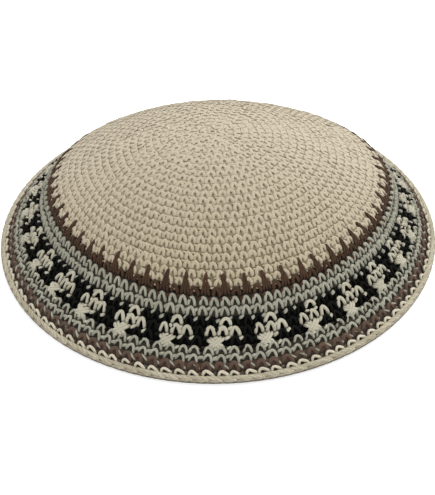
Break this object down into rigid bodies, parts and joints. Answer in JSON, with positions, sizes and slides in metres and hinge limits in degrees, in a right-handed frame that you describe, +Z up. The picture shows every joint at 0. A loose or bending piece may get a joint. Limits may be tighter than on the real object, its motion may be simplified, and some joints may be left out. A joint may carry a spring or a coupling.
{
  "type": "kippah skullcap",
  "caption": "Shallow round skullcap crocheted in rounds, with a plain domed crown, a border of spike stitches, a patterned band and a braided rim.",
  "frame": {"origin": "centre of the rim, on the surface that the cap stands on", "axes": "+Z up through the crown, -Y towards the front, towards which the crown leans a little, +X to the wearer's left"},
  "size_m": [0.1918, 0.1918, 0.0445],
  "materials": {
    "tan_yarn": "matt tan cotton yarn, single crochet",
    "brown_yarn": "matt dark reddish brown cotton yarn, single and spike crochet",
    "grey_yarn": "matt light greenish grey cotton yarn, single crochet",
    "motif_yarn": "matt near-black cotton yarn with a cream figure worked in tapestry crochet",
    "cream_yarn": "matt cream cotton yarn, edge round and braid"
  },
  "bodies": {
    "root": {"crown": "tan_yarn", "spike_round": "brown_yarn", "upper_grey_band": "grey_yarn", "motif_band": "motif_yarn", "lower_grey_band": "grey_yarn", "brown_round": "brown_yarn", "edging": "cream_yarn"}
  },
  "joints": []
}
